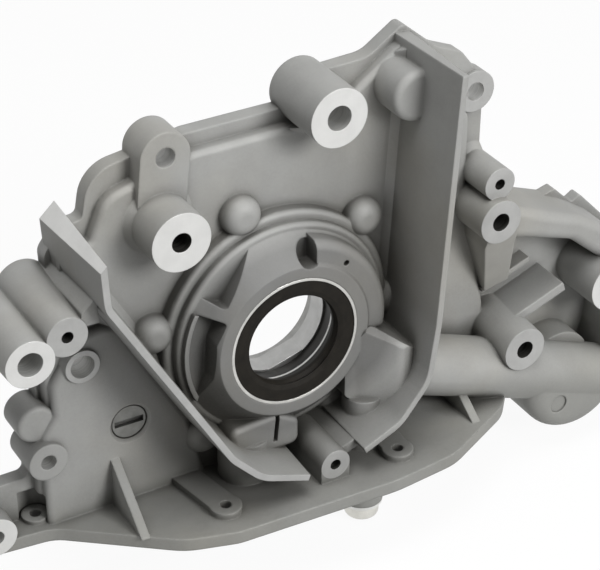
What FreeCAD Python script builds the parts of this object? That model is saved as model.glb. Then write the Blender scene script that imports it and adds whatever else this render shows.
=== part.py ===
import FreeCAD, Part
import math
import os

from FreeCAD import Vector

# Engine oil pump built into the front case of an engine, in millimetres.
# X points right seen from the front, Y points back to the engine block and Z points up.
# The crankshaft's axis is the Y axis, and the face that meets the block lies at Y = 0.
# A depth is a distance in front of that face, so a point at depth d lies at Y = -d.

# Crankshaft, seal and running clearances
crank_radius = 21.0
drive_hub_radius = 24.0
drive_flat_distance = 22.45
drive_flat_angle = 106.0
seal_radius = 30.0
seal_width = 8.0
case_sheet = 1.2
case_window = 4.5
case_sink = 1.2
lip_land = 1.5
lip_body = 3.6
lip_bevel = 1.2
dust_lip_gap = 0.3
dust_lip_bevel = 0.8
spring_ring_gap = 2.6
spring_ring_wire = 0.8
garter_place = 0.65
lip_front_stand = 0.7
case_back_gap = 0.1
fit_gap = 0.01
running_clearance = 0.05
face_clearance = 0.03

# Rotor set: an inner rotor with one lobe fewer than the outer rotor
outer_lobes = 10
inner_lobes = outer_lobes - 1
rotor_eccentricity = 3.2
lobe_circle_radius = 45.2
lobe_arc_radius = 12.0
rotor_tip_clearance = 0.08
rotor_rim = 5.5
rotor_width = 10.0
profile_points = 12

# Rear cover and its screws
cover_thickness = 5.5
cover_radius = 66.0
cover_gap = 0.3
cover_crank_hole_radius = 26.0
cover_land = 5.0
screw_circle_radius = 58.0
screw_angles = [168.0, 105.0, 42.0, -5.0, -60.0, -128.0]
screw_radius = 3.0
screw_head_radius = 6.0
screw_length = 16.0
screw_hole_spare = 2.0
screw_hole_gap = 0.3
screw_sink = 0.2
screw_socket_radius = 2.3
screw_socket_depth = 2.4
thread_gap = 0.02
bump_radius = 8.8
bump_round = 6.0
bump_height = 8.0

# Casting: thicknesses and depths
flange_depth = 7.0
plate_depth = 13.0
chamber_depth = 17.0
casting_wall = 4.5
front_depth = 34.0
wall_front_depth = 54.0
wall_tip_thickness = 2.8
wall_root_thickness = 7.0
wall_root_depth = 2.0
flare_setback = 0.8
root_flare = 3.0
edge_round = 1.6
plate_round = 2.5
chamber_round = 3.0
boss_round = 2.0
blind_boss_round = 3.0
chamber_root_lap = 4.0
overlap = 0.5
cut_margin = 1.0
match_tolerance = 0.01

# Round pump body in front of the rotors
body_radius = 54.0
body_step_depth = 19.0
hub_root_radius = 50.0
hub_root_depth = 23.0
hub_front_radius = 35.5
hub_cone_setback = 2.5
hub_rim_radius = 47.5
hub_rim_width = 2.0
hub_rim_height = 2.5
hub_pad_radius = 46.0
hub_pad_depth = 33.0
hub_pad_round = 4.0
hub_recess_at = (8.0, 38.5)
hub_recess_radius = 5.2
hub_recess_depth = 24.5
pad_dimple_at = (25.0, 30.5)
pad_dimple_radius = 1.3
pad_dimple_length = 2.5

# Kidney ports in the floor of the rotor chamber
port_inner_radius = 30.5
port_outer_radius = 39.0
port_depth = 4.0
crank_way_gap = 1.0
notch_floor_wall = 3.5
suction_port_angles = (112.0, 250.0)
pressure_port_angles = (-70.0, 68.0)

# Sump flange
sump_face_z = -72.0
sump_flange_thickness = 6.0
sump_bolt_radius = 2.5
sump_pad_radius = 7.0
sump_pad_height = 3.0
sump_pad_neck = 1.8

# Bosses on the front: (x, z) of the axis, then radii and depths
case_bolt_radius = 5.5
side_bolt_radius = 5.25
upper_bolt_radius = 4.25
case_boss_radius = 13.0
tapped_m6_radius = 2.5
tapped_m10_radius = 4.3
pulley_boss_at = (-51.0, 63.6)
bracket_boss_at = (20.3, 99.6)
outer_boss_at = (169.0, -25.5)
left_boss_at = (-121.5, 36.0)
left_boss_radius = 10.3
left_boss_draft = 1.8
left_web_depth = 38.0
left_web_width = 6.0
left_boss_depth = 44.0
left_ledge_depth = 43.0
cover_stud_at = (-105.6, 43.2)
cover_stud_radius = 8.6
cover_stud_draft = 2.8
case_hole_at = (-89.6, 8.8)
case_hole_boss_radius = 7.6
case_hole_boss_draft = 1.0
case_hole_boss_height = 1.5
lobe_boss_at = (-108.0, -31.3)
tab_boss_at = (-132.7, -62.4)
lobe_boss_radius = 8.6
lobe_hole_radius = 3.4
lobe_boss_depth = 18.0
lobe_boss_stand = 2.0
tab_boss_extra = 0.6
blind_lobe_at = (-109.5, -15.5)
lug_at = (-48.0, 92.0)
lug_radius = 11.0
lug_depth = 16.0
ear_at = (103.0, 79.5)
ear_radius = 9.5
ear_depth = 9.0
small_boss_at = (103.4, 44.2)
small_boss_radius = 7.6
small_boss_depth = 30.0
arm_boss_at = (102.3, 27.7)
arm_boss_radius = 10.3
arm_hole_radius = 4.25
block_boss_at = (116.9, -41.2)
block_boss_radius = 10.6
block_boss_draft = 2.0
block_boss_depth = 38.0
gap_boss_at = (10.6, -57.6)
gap_boss_radius = 7.0
gap_boss_depth = 50.0
blind_boss_at = (60.5, 97.0)
blind_boss_radius = 11.5
blind_boss_depth = 30.0
blind_boss_side = 65.0
tapped_hole_length = 20.0
boss_keeper_radius = 10.5

# Arm to the right, with the oil gallery that runs through its lower tube
arm_depth = 28.0
web_depth = 6.0
gallery_depth = 24.0
gallery_radius = 6.5
gallery_tube_radius = 14.0
gallery_start = (28.0, -24.9)
gallery_tube_start = (50.5, -33.6)
gallery_end = (176.0, -82.1)
gallery_plug_radius = 8.0
gallery_plug_length = 6.0
gallery_plug_wall = 1.4
gallery_plug_floor = 1.6
cup_at = (150.5, -71.0)
cup_radius = 27.0
cup_depth = 37.0
cup_round = 8.0
cup_root_radius = 17.0
cup_root_depth = 20.0
cup_dish_at = (139.5, -80.0)
cup_dish_radius = 4.5
cup_dish_depth = 0.8
arm_pocket_path = [(120.0, 18.0, 0.0), (150.0, 8.0, 14.0), (180.0, -18.0, 0.0)]
arm_pocket_width = 7.0
beam_round = 4.5
outer_rib_width = 8.0
short_rib_width = 2.8
tube_end_round = 2.0
tube_root_width = 19.6
outlet_radius = 8.0
o_ring_inner_radius = 11.0
o_ring_wire = 3.0
o_ring_groove_depth = 2.6
o_ring_groove_gap = 0.3

# Relief valve, upright under the pressure port
relief_at = (36.5, 30.0)
relief_barrel_radius = 9.6
relief_bore_radius = 6.5
relief_throat_radius = 4.3
throat_drop = 4.0
relief_seat_z = -66.0
relief_barrel_end_z = -98.0
relief_barrel_top_z = -40.0
relief_travel = 9.0
plunger_stop_gap = 0.3
plunger_crown = 5.0
plunger_chamfer = 0.6
plunger_cup_radius = 4.7
plunger_seat_gap = 0.2
spill_radius = 3.5
spill_drop = 10.0
spring_mean_radius = 3.7
spring_wire_radius = 0.6
spring_turns = 5.0
relief_plug_radius = 7.5
relief_plug_thread = 8.0
relief_plug_head_radius = 7.9
relief_plug_head_height = 7.5
relief_plug_head_round = 2.5
washer_gap = 0.1
relief_plug_socket_radius = 3.4
relief_plug_socket_floor = 3.0
relief_washer_radius = 9.4
relief_washer_thickness = 1.5

# Suction flange under the case, and the slotted plug of the chamber
suction_at = (-20.0, 24.0)
suction_socket_radius = 9.0
suction_socket_length = 8.0
suction_radius = 7.8
suction_top_z = -38.5
suction_link_depth = 21.0
suction_flange_z = -84.0
suction_bolt_spacing = 38.0
suction_ear_radius = 7.0
suction_thread_stop = 1.0
suction_tower_radius = 11.5
suction_tower_top_z = -46.0
slotted_plug_at = (-69.4, -27.4)
slotted_plug_radius = 8.3
slotted_plug_length = 6.0
slotted_plug_recess = 1.4
plug_mouth_bevel = 1.2
slotted_plug_chamfer = 0.7
slot_reach = 0.8
slot_width = 3.0
slot_depth = 2.0
slot_angle = -1.0

# Outlines seen from the front: (x, z, corner radius), clockwise from the lower left
flange_outline = [
    (-143.0, -72.0, 3.0), (-143.0, -46.0, 8.0), (-112.5, -45.5, 3.0), (-112.5, -20.0, 6.0),
    (-106.5, -12.0, 4.0), (-106.5, 8.0, 8.0), (-97.0, 26.0, 6.0), (-98.0, 58.0, 6.0),
    (-90.0, 68.5, 6.0), (-81.0, 69.0, 3.0), (-77.5, 88.5, 16.0), (-56.0, 91.5, 2.0),
    (-34.0, 95.0, 10.0), (10.0, 95.0, 3.0), (24.0, 107.0, 10.0),
    (50.0, 108.0, 12.0), (66.5, 119.0, 3.0), (83.0, 105.0, 12.0), (96.0, 99.5, 5.0),
    (108.0, 84.0, 6.0), (107.5, 30.0, 6.0), (107.0, 4.0, 8.0), (113.0, -28.0, 6.0),
    (124.0, -72.0, 3.0)]
plate_outline = [
    (-110.5, -70.0, 2.0), (-110.5, -21.0, 6.0), (-104.5, -12.0, 4.0), (-104.5, 6.0, 8.0),
    (-94.0, 24.0, 6.0), (-95.5, 60.0, 3.0), (-80.5, 60.5, 3.0), (-73.0, 78.5, 12.0),
    (-56.0, 83.5, 4.0), (-34.0, 88.5, 8.0),
    (10.0, 88.5, 5.0), (37.0, 95.0, 5.0), (60.0, 111.0, 6.0), (68.0, 114.0, 2.0),
    (86.0, 96.0, 8.0), (98.0, 70.0, 6.0), (98.0, 30.0, 4.0), (103.0, 6.0, 8.0),
    (110.5, -28.0, 6.0), (112.0, -70.0, 2.0)]
chamber_outline = [
    (-109.0, -70.0, 2.0), (-109.0, -22.0, 6.0), (-103.0, -13.0, 4.0), (-103.0, 2.0, 8.0),
    (-90.0, 22.0, 12.0), (-74.0, 24.0, 8.0),
    (-42.0, -34.0, 16.0), (-34.0, -70.0, 4.0)]
pocket_outline = [
    (-104.0, -64.0, 4.0), (-104.0, -20.0, 6.0), (-100.0, -12.0, 4.0), (-100.0, 2.0, 6.0),
    (-88.0, 24.0, 6.0), (-88.0, 56.0, 6.0), (-78.0, 57.0, 6.0), (-68.0, 74.0, 8.0),
    (-55.0, 78.5, 6.0), (-32.0, 84.0, 6.0), (12.0, 84.0, 4.0),
    (38.0, 92.0, 5.0), (64.0, 108.0, 5.0), (82.0, 92.0, 8.0), (93.0, 68.0, 6.0),
    (93.0, 28.0, 6.0), (98.0, 2.0, 6.0), (104.0, -28.0, 6.0), (106.0, -64.0, 4.0)]
chamber_pocket_outline = [
    (-103.0, -62.0, 4.0), (-103.0, -22.0, 6.0), (-98.0, -12.0, 4.0), (-98.0, -2.0, 6.0),
    (-88.0, 16.0, 6.0), (-76.0, 18.0, 6.0),
    (-48.0, -34.0, 10.0), (-42.0, -62.0, 4.0)]
wall_bevel_outline = [
    (-104.0, 65.1, 0.0), (-104.0, 88.0, 0.0), (-84.0, 88.0, 0.0), (-84.0, 83.5, 0.0)]
left_ledge_outline = [
    (-99.5, 45.0, 0.0), (-98.8, 51.0, 1.0), (-92.6, 56.0, 0.0), (-91.5, 45.0, 0.0)]
wall_end_web_path = [(26.0, -52.0, 0.0), (10.6, -57.6, 0.0)]
wall_end_web_depth = 46.0
left_wall_path = [
    (-93.6, 79.5, 0.0), (-92.4, 57.0, 12.0), (-40.5, -33.5, 18.0), (-27.0, -48.0, 22.0),
    (-4.6, -56.2, 0.0)]
right_wall_path = [
    (66.0, 115.5, 0.0), (58.4, 0.0, 60.0), (54.6, -27.0, 20.0), (40.5, -44.6, 16.0),
    (23.0, -52.4, 0.0)]
outlet_bulge_outline = [
    (29.5, -12.0, 1.0), (35.5, -3.0, 4.0), (60.0, -20.0, 0.0), (57.0, -38.0, 0.0),
    (48.0, -48.5, 5.0), (39.0, -48.5, 4.0), (25.5, -38.0, 3.0), (25.5, -19.0, 0.0)]
inlet_bulge_outline = [
    (-32.0, -36.0, 4.0), (-8.0, -34.0, 4.0), (2.0, -40.0, 4.0), (2.0, -53.0, 4.0),
    (-28.0, -53.0, 4.0)]
inlet_slot_path = [(-8.5, -34.0, 0.0), (-10.0, -48.0, 0.0)]
inlet_slot_width = 2.0
inlet_slot_depth = 29.0
hub_side_outline = [
    (-31.3, 18.5, 1.0), (-36.0, 9.0, 4.0), (-37.5, -8.0, 6.0), (-43.5, -24.0, 2.0),
    (-60.0, -24.0, 0.0), (-60.0, 27.0, 0.0)]
hub_notch_outline = [
    (-46.0, 33.0, 1.0), (-34.0, 52.0, 1.0), (-14.5, 46.0, 1.0), (-30.5, 23.5, 2.0)]
hub_pad_outline = [
    (28.0, -6.0, 0.0), (10.8, 28.0, 2.0), (10.8, 50.0, 0.0), (50.0, 50.0, 0.0), (50.0, -6.0, 0.0)]
suction_link_outline = [
    (-27.0, -45.0, 3.0), (-29.0, -25.0, 3.0), (-16.0, -30.0, 2.0), (-13.0, -45.0, 3.0)]
arm_beam_outline = [
    (98.0, 36.0, 6.0), (134.0, 19.5, 8.0), (152.0, 12.5, 8.0), (168.0, 2.5, 8.0),
    (190.0, -18.0, 6.0), (190.0, -36.0, 5.5), (168.0, -16.0, 8.0), (148.0, 1.0, 10.0),
    (122.0, 10.0, 8.0), (98.0, 16.0, 6.0)]
arm_web_outline = [
    (98.0, 34.0, 3.0), (144.5, 14.5, 1.0), (151.8, 16.5, 1.5), (162.0, 6.5, 1.5),
    (166.5, 9.5, 1.5), (188.0, -13.0, 4.0), (186.0, -84.0, 6.0), (112.0, -60.0, 6.0)]
outer_rib_path = [(180.0, -22.0, 0.0), (178.0, -60.0, 20.0), (172.0, -80.0, 0.0)]
tube_root_path = [(60.0, -37.3, 0.0), (116.9, -59.3, 0.0)]
long_rib_path = [(119.0, -32.5, 0.0), (145.5, -22.5, 0.0)]
long_rib_depth = 26.5
short_rib_path = [(109.0, -20.5, 0.0), (134.6, -11.6, 0.0)]
short_rib_depth = 13.5
pocket_rib_paths = [
    [(-50.0, 50.0, 0.0), (-66.0, 74.0, 0.0)], [(-8.0, 66.0, 0.0), (-10.0, 90.0, 0.0)],
    [(44.0, 50.0, 0.0), (66.0, 112.0, 0.0)], [(62.0, 26.0, 0.0), (98.0, 42.0, 0.0)],
    [(64.0, -12.0, 0.0), (106.0, -18.0, 0.0)], [(-64.0, -10.0, 0.0), (-112.0, -16.0, 0.0)],
    [(-54.0, -36.0, 0.0), (-92.0, -68.0, 0.0)], [(56.0, -40.0, 0.0), (84.0, -68.0, 0.0)]]
rib_thickness = 4.0
long_rib_thickness = 4.5

# Outlines seen from above: (x, depth, corner radius)
sump_outline = [
    (-143.0, 0.0, 0.0), (-143.0, 16.0, 8.0), (-108.0, 19.5, 16.0), (-64.0, 54.0, 30.0),
    (-42.0, 60.5, 20.0), (34.0, 63.5, 60.0), (66.0, 60.0, 30.0), (104.0, 41.0, 24.0),
    (122.0, 20.0, 10.0), (122.0, 0.0, 0.0)]
sump_recess_outline = [
    (-98.0, 8.0, 2.0), (-90.0, 18.0, 6.0), (-58.0, 42.0, 14.0), (34.0, 50.0, 30.0),
    (62.0, 46.0, 16.0), (96.0, 24.0, 6.0), (100.0, 8.0, 2.0)]
sump_recess_height = 2.0
left_pad_path = [(-46.0, 12.0, 0.0), (-40.0, 44.5, 0.0)]
right_pad_path = [(46.0, 12.0, 0.0), (44.0, 47.0, 0.0)]
corner_bolt_at = (-111.5, 8.5)
corner_spot_radius = 7.0
corner_pad_radius = 6.0
corner_pad_height = 2.0
corner_spot_height = 14.0
right_bolt_at = (108.0, 16.0)

# Outlines seen from the side: (depth, z, corner radius)
left_gusset_outline = [
    (10.0, -38.0, 0.0), (17.5, -43.0, 3.0), (45.0, -66.5, 0.0), (10.0, -67.0, 0.0)]
left_gusset_x = -79.5
right_gusset_outline = [
    (8.0, -48.0, 0.0), (22.0, -50.0, 2.0), (46.0, -66.5, 0.0), (8.0, -67.0, 0.0)]
right_gusset_x = 85.0
arm_gusset_outline = [
    (10.0, 26.0, 0.0), (33.0, 26.0, 0.0), (31.0, 17.0, 8.0), (12.5, -25.0, 2.0),
    (10.0, -26.0, 0.0)]
arm_gusset_span = (96.0, 134.0)
outlet_bulge_section = [
    (24.0, 0.0, 0.0), (24.0, 32.0, 0.0), (30.5, 33.0, 6.0), (46.5, 44.0, 6.0),
    (53.0, 43.5, 6.0), (60.0, 34.0, 0.0), (60.0, 0.0, 0.0)]
outlet_bulge_side = [
    (0.0, 0.0, 0.0), (28.0, 0.0, 0.0), (44.5, -13.0, 8.0), (44.5, -44.0, 6.0),
    (34.0, -50.0, 3.0), (0.0, -50.0, 0.0)]
arm_gusset_face = [
    (97.0, 28.0, 0.0), (98.0, 13.0, 0.0), (109.5, -20.5, 0.0), (121.0, -16.5, 0.0),
    (114.0, 12.0, 0.0), (112.0, 28.0, 0.0)]
gusset_thickness = 4.0


# Views: where an outline's two coordinates and its level lie in space
def front_view(across, up, depth):
    return Vector(across, -depth, up)


def plan_view(across, depth, up):
    return Vector(across, -depth, up)


def side_view(depth, up, across):
    return Vector(across, -depth, up)


# Outlines with rounded corners
def tangent_arc(before, corner, after, radius):
    """Start, middle and end of the arc that rounds one corner."""
    here = Vector(corner[0], corner[1], 0)
    back = (Vector(before[0], before[1], 0) - here).normalize()
    ahead = (Vector(after[0], after[1], 0) - here).normalize()
    half_angle = back.getAngle(ahead) / 2.0
    setback = radius / math.tan(half_angle)
    bisector = (back + ahead).normalize()
    centre = here + bisector * (radius / math.sin(half_angle))
    return here + back * setback, centre - bisector * radius, here + ahead * setback


def outline_wire(corners, level, view):
    """Closed wire through the corners, with each corner rounded by its own radius."""
    stretches = []
    for index, corner in enumerate(corners):
        before = corners[index - 1]
        after = corners[(index + 1) % len(corners)]
        if corner[2] > 0:
            stretches.append(tangent_arc(before, corner, after, corner[2]))
        else:
            stretches.append((Vector(corner[0], corner[1], 0),))
    edges = []
    for index, points in enumerate(stretches):
        placed = [view(p.x, p.y, level) for p in points]
        following = stretches[(index + 1) % len(stretches)][0]
        if len(placed) == 3:
            edges.append(Part.Arc(*placed).toShape())
        edges.append(Part.LineSegment(placed[-1], view(following.x, following.y, level)).toShape())
    return Part.Wire(edges)


def prism(corners, start, end, view=front_view):
    """Solid with the outline's shape between two levels."""
    face = Part.Face(outline_wire(corners, start, view))
    return face.extrude(view(0, 0, end) - view(0, 0, start))


def soft_prism(corners, start, end, radius=edge_round):
    """Prism seen from the front, with its front edge rounded."""
    solid = prism(corners, start, end)
    rim = [edge for edge in solid.Edges if abs(edge.BoundBox.YMax + end) < match_tolerance]
    return solid.makeFillet(radius, rim)


def ribbon(path, width):
    """Outline of a strip of constant width along a path of (u, v, bend radius) points."""
    left = []
    right = []
    for index, (u, v, bend) in enumerate(path):
        here = Vector(u, v, 0)
        steps = []
        if index > 0:
            steps.append((here - Vector(path[index - 1][0], path[index - 1][1], 0)).normalize())
        if index < len(path) - 1:
            steps.append((Vector(path[index + 1][0], path[index + 1][1], 0) - here).normalize())
        normals = [Vector(-step.y, step.x, 0) for step in steps]
        mitre = normals[0] + normals[-1]
        mitre = mitre / (1.0 + normals[0].dot(normals[-1]))
        turn = steps[0].cross(steps[-1]).z
        inner = max(bend - width / 2.0, 0.0)
        outer = bend + width / 2.0 if bend > 0 else 0.0
        on_left = here + mitre * (width / 2.0)
        on_right = here - mitre * (width / 2.0)
        left.append((on_left.x, on_left.y, inner if turn > 0 else outer))
        right.append((on_right.x, on_right.y, outer if turn > 0 else inner))
    return left + right[::-1]


def tapered_strip(path, start_width, end_width, start, end):
    """Wall along a path that thins from its start level to its end level."""
    wires = [outline_wire(ribbon(path, start_width), start, front_view),
             outline_wire(ribbon(path, end_width), end, front_view)]
    return Part.makeLoft(wires, True, True)


# Round features whose axes run front to back
def rod(at, radius, start, end):
    return Part.makeCylinder(radius, end - start, Vector(at[0], -start, at[1]), Vector(0, -1, 0))


def cone(at, start_radius, end_radius, start, end):
    foot = Vector(at[0], -start, at[1])
    return Part.makeCone(start_radius, end_radius, end - start, foot, Vector(0, -1, 0))


def boss(at, radius, end, root=plate_depth, outline=plate_outline):
    """Round boss that flares where it leaves the plate, within the plate's outline."""
    column = rod(at, radius, 0.0, end)
    flare = cone(at, radius + root_flare, radius, root - overlap, root + root_flare)
    return column.fuse(flare.common(prism(outline, 0.0, front_depth)))


def domed_rod(at, radius, start, end, round_radius):
    solid = rod(at, radius, start, end)
    rim = [edge for edge in solid.Edges if abs(edge.BoundBox.YMax + end) < match_tolerance]
    return solid.makeFillet(round_radius, rim)


def upright(at, radius, low, high):
    """Vertical cylinder at (x, depth)."""
    return Part.makeCylinder(radius, high - low, Vector(at[0], -at[1], low))


def polar(radius, angle, centre=(0.0, 0.0)):
    turn = math.radians(angle)
    return centre[0] + radius * math.cos(turn), centre[1] + radius * math.sin(turn)


def six_sided(at, radius):
    """Outline of a hexagon, for a screw's or plug's socket."""
    return [polar(radius, 60.0 * side, at) + (0.0,) for side in range(6)]


# Depths that follow from the driving dimensions
cover_front_depth = cover_thickness
rotor_back_depth = cover_front_depth + face_clearance
rotor_front_depth = rotor_back_depth + rotor_width
chamber_floor_depth = rotor_front_depth + face_clearance
port_floor_depth = chamber_floor_depth + port_depth
seal_back_depth = front_depth - seal_width
rotor_root_radius = lobe_circle_radius - lobe_arc_radius + 2.0 * rotor_eccentricity + rotor_tip_clearance
outer_rotor_radius = rotor_root_radius + rotor_rim
rotor_chamber_radius = outer_rotor_radius + running_clearance
outer_rotor_centre = (0.0, rotor_eccentricity)
sump_top_z = sump_face_z + sump_flange_thickness
screw_hole_depth = screw_length + screw_hole_spare
bump_front_depth = plate_depth + bump_height
relief_plug_top_z = relief_barrel_end_z + relief_plug_thread
plunger_top_z = relief_seat_z - plunger_seat_gap
plunger_length = plunger_top_z - relief_plug_top_z - relief_travel - plunger_stop_gap
garter_depth = front_depth - garter_place * seal_width
spring_ring_radius = crank_radius + spring_ring_gap


def gallery_axis():
    """Start point, end point and direction of the drilled gallery."""
    start = Vector(gallery_start[0], -gallery_depth, gallery_start[1])
    end = Vector(gallery_end[0], -gallery_depth, gallery_end[1])
    return start, end, (end - start).normalize()


# Parts of the casting that add metal
def flange_and_plate():
    flange = prism(flange_outline, 0.0, flange_depth)
    plate = soft_prism(plate_outline, 0.0, plate_depth, plate_round)
    chamber = soft_prism(chamber_outline, plate_depth - chamber_root_lap, chamber_depth, chamber_round)
    return [flange, plate, chamber]


def pump_body():
    step = domed_rod((0.0, 0.0), body_radius, 0.0, body_step_depth, boss_round)
    hub_base = domed_rod((0.0, 0.0), hub_root_radius, 0.0, hub_root_depth, boss_round)
    hub = cone((0.0, 0.0), hub_root_radius - hub_cone_setback, hub_front_radius,
               hub_root_depth - overlap, front_depth)
    notch = prism(hub_notch_outline, port_floor_depth + notch_floor_wall, front_depth + cut_margin)
    side = prism(hub_side_outline, hub_root_depth, front_depth + cut_margin)
    recess = rod(hub_recess_at, hub_recess_radius, hub_recess_depth, front_depth + cut_margin)
    hub = hub.cut([notch, side, recess])
    rim_top = hub_root_depth + hub_rim_height
    rim = rod((0.0, 0.0), hub_rim_radius, body_step_depth, rim_top)
    rim = rim.cut(rod((0.0, 0.0), hub_rim_radius - hub_rim_width, 0.0, front_depth))
    rim = rim.common(side)
    pad = domed_rod((0.0, 0.0), hub_pad_radius, body_step_depth, hub_pad_depth, hub_pad_round)
    pad = pad.common(prism(hub_pad_outline, body_step_depth, hub_pad_depth))
    pad = pad.cut(rod(pad_dimple_at, pad_dimple_radius, hub_pad_depth - pad_dimple_length, front_depth))
    outlet_bulge = prism(outlet_bulge_outline, 0.0, wall_front_depth)
    outlet_bulge = outlet_bulge.common(prism(outlet_bulge_section, sump_face_z, 0.0, plan_view))
    outlet_bulge = outlet_bulge.common(prism(outlet_bulge_side, 0.0, cover_radius, side_view))
    inlet_bulge = soft_prism(inlet_bulge_outline, 0.0, front_depth, plate_round)
    slot = prism(ribbon(inlet_slot_path, inlet_slot_width), inlet_slot_depth, front_depth + cut_margin)
    return [step, hub_base, hub, rim, pad, outlet_bulge, inlet_bulge.cut(slot)]


def screw_bumps():
    bumps = []
    for angle in screw_angles:
        bumps.append(domed_rod(polar(screw_circle_radius, angle), bump_radius, 0.0,
                               bump_front_depth, bump_round))
    return bumps


def belt_walls():
    """Two thin walls that guard the belt, the left one with a bevelled end and a ledge outside."""
    walls = []
    for path in (left_wall_path, right_wall_path):
        walls.append(tapered_strip(path, wall_root_thickness, wall_tip_thickness,
                                   wall_root_depth, wall_front_depth))
        flare_width = wall_root_thickness + 2.0 * root_flare
        flare = tapered_strip(path, flare_width, wall_root_thickness - flare_setback,
                              plate_depth - overlap, plate_depth + root_flare)
        walls.append(flare.common(prism(plate_outline, 0.0, front_depth)))
    bevel = prism(wall_bevel_outline, -cut_margin, wall_front_depth + cut_margin)
    walls = [wall.cut(bevel) for wall in walls]
    walls.append(prism(left_ledge_outline, 0.0, left_ledge_depth))
    walls.append(prism(ribbon(wall_end_web_path, casting_wall), 0.0, wall_end_web_depth))
    return walls


def tall_bosses():
    pulley = boss(pulley_boss_at, case_boss_radius, front_depth)
    bracket = boss(bracket_boss_at, case_boss_radius, front_depth)
    outer = rod(outer_boss_at, case_boss_radius, 0.0, front_depth)
    blind = domed_rod(blind_boss_at, blind_boss_radius, 0.0, blind_boss_depth, blind_boss_round)
    reach = 2.0 * blind_boss_radius
    corner = Vector(blind_boss_side - reach, -blind_boss_depth, blind_boss_at[1] - blind_boss_radius)
    beside_wall = Part.makeBox(reach, blind_boss_depth, reach, corner)
    return [pulley, bracket, outer, blind.common(beside_wall)]


def lug():
    """Ear above the pulley boss, joined to it by a flat column."""
    head = rod(lug_at, lug_radius, 0.0, lug_depth)
    column = prism([(lug_at[0] - lug_radius, lug_at[1], 0.0), (lug_at[0] + lug_radius, lug_at[1], 0.0),
                    (pulley_boss_at[0] + lug_radius, pulley_boss_at[1], 0.0),
                    (pulley_boss_at[0] - lug_radius, pulley_boss_at[1], 0.0)], 0.0, lug_depth)
    return [head, column]


def left_block():
    """Two long drafted bosses side by side, one bored through and one tapped, and the web between."""
    web_path = [left_boss_at + (0.0,), cover_stud_at + (0.0,)]
    web = prism(ribbon(web_path, left_web_width), 0.0, left_web_depth)
    bolt_boss = cone(left_boss_at, left_boss_radius + left_boss_draft, left_boss_radius,
                     0.0, left_boss_depth)
    stud_boss = cone(cover_stud_at, cover_stud_radius + cover_stud_draft, cover_stud_radius,
                     0.0, left_boss_depth)
    return [web, bolt_boss, stud_boss]


def low_bosses():
    blind_depth = plate_depth + lobe_boss_stand
    bosses = [domed_rod(blind_lobe_at, lobe_boss_radius, 0.0, blind_depth, boss_round)]
    bosses.append(rod(lobe_boss_at, lobe_boss_radius, 0.0, lobe_boss_depth + lobe_boss_stand))
    bosses.append(rod(tab_boss_at, lobe_boss_radius + tab_boss_extra, 0.0, lobe_boss_depth))
    bosses.append(cone(case_hole_at, case_hole_boss_radius + case_hole_boss_draft, case_hole_boss_radius,
                       plate_depth - cut_margin, chamber_depth + case_hole_boss_height))
    bosses.append(rod(gap_boss_at, gap_boss_radius, body_step_depth, gap_boss_depth))
    foot_path = [(gap_boss_at[0], gap_boss_at[1], 0.0), (gap_boss_at[0], sump_top_z - 2.0 * overlap, 0.0)]
    bosses.append(prism(ribbon(foot_path, 2.0 * gap_boss_radius), body_step_depth, gap_boss_depth))
    return bosses


def right_bosses():
    ear = rod(ear_at, ear_radius, 0.0, ear_depth)
    small = boss(small_boss_at, small_boss_radius, small_boss_depth, flange_depth, flange_outline)
    arm = rod(arm_boss_at, arm_boss_radius, 0.0, front_depth)
    block = cone(block_boss_at, block_boss_radius + block_boss_draft, block_boss_radius,
                 0.0, block_boss_depth)
    gusset = prism(arm_gusset_outline, arm_gusset_span[0], arm_gusset_span[1], side_view)
    gusset = gusset.common(prism(arm_gusset_face, 0.0, front_depth))
    return [ear, small, arm, block, gusset]


def arm():
    """Beam, web, ribs, gallery tube and closed cup to the right of the case."""
    beam = soft_prism(arm_beam_outline, 0.0, arm_depth, beam_round)
    web = prism(arm_web_outline, 0.0, web_depth)
    outer_rib = prism(ribbon(outer_rib_path, outer_rib_width), 0.0, arm_depth)
    long_rib = prism(ribbon(long_rib_path, long_rib_thickness), 0.0, long_rib_depth)
    short_rib = prism(ribbon(short_rib_path, short_rib_width), 0.0, short_rib_depth)
    start, end, direction = gallery_axis()
    tube_start = Vector(gallery_tube_start[0], -gallery_depth, gallery_tube_start[1])
    tube = Part.makeCylinder(gallery_tube_radius, (end - tube_start).Length, tube_start, direction)
    end_rim = [edge for edge in tube.Edges if edge.BoundBox.Center.distanceToPoint(end) < overlap]
    tube = tube.makeFillet(tube_end_round, end_rim)
    cup = domed_rod(cup_at, cup_radius, 0.0, cup_depth, cup_round)
    far_below = cup_at[1] - 2.0 * cup_radius
    below_axis = [(end.x, end.z, 0.0), (tube_start.x, tube_start.z, 0.0),
                  (tube_start.x, far_below, 0.0), (end.x, far_below, 0.0)]
    cup = cup.common(prism(below_axis, 0.0, wall_front_depth))
    cup = cup.fuse(rod(cup_at, cup_root_radius, 0.0, cup_root_depth))
    cup = cup.cut(rod(cup_dish_at, cup_dish_radius, cup_depth - cup_dish_depth, cup_depth + cut_margin))
    tube_root = prism(ribbon(tube_root_path, tube_root_width), 0.0, gallery_depth)
    return [beam, web, outer_rib, long_rib, short_rib, tube, cup, tube_root]


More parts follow.
